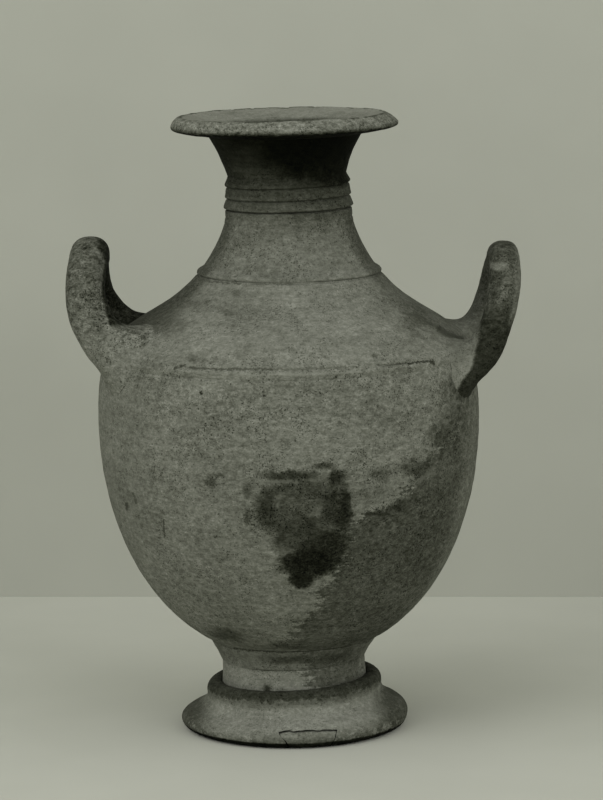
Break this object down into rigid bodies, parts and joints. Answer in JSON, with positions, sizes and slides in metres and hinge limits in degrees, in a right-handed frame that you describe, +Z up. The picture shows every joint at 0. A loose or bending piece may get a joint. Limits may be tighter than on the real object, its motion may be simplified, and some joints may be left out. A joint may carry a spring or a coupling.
{
  "type": "two-handled jar",
  "caption": "Footed clay jar with a round belly, sloping shoulder, ridged neck, plate-like lip and upright loop handles at the shoulder.",
  "frame": {"origin": "on the jar's axis, in the plane that the foot stands on", "axes": "+Z up along the jar's axis; -Y is the front; the handles stand out to -X and +X"},
  "size_m": [0.1103, 0.093, 0.151],
  "materials": {
    "body_clay": "fired clay, matt, stained and pitted",
    "foot_clay": "fired clay, matt, worn pale on the spread of the foot",
    "lip_clay": "fired clay, matt and gritty, with a worn, chipped edge",
    "handle_clay": "fired clay, matt, darkened by handling",
    "fragment_clay": "fired clay, matt, a little darker than the foot"
  },
  "bodies": {
    "root": {"foot": "foot_clay", "foot_fragment": "fragment_clay", "stem": "body_clay", "belly_bowl": "body_clay", "shoulder": "body_clay", "neck": "body_clay", "neck_collar": "body_clay", "mouth": "body_clay", "lip": "lip_clay", "handle_left": "handle_clay", "handle_right": "handle_clay"}
  },
  "joints": []
}
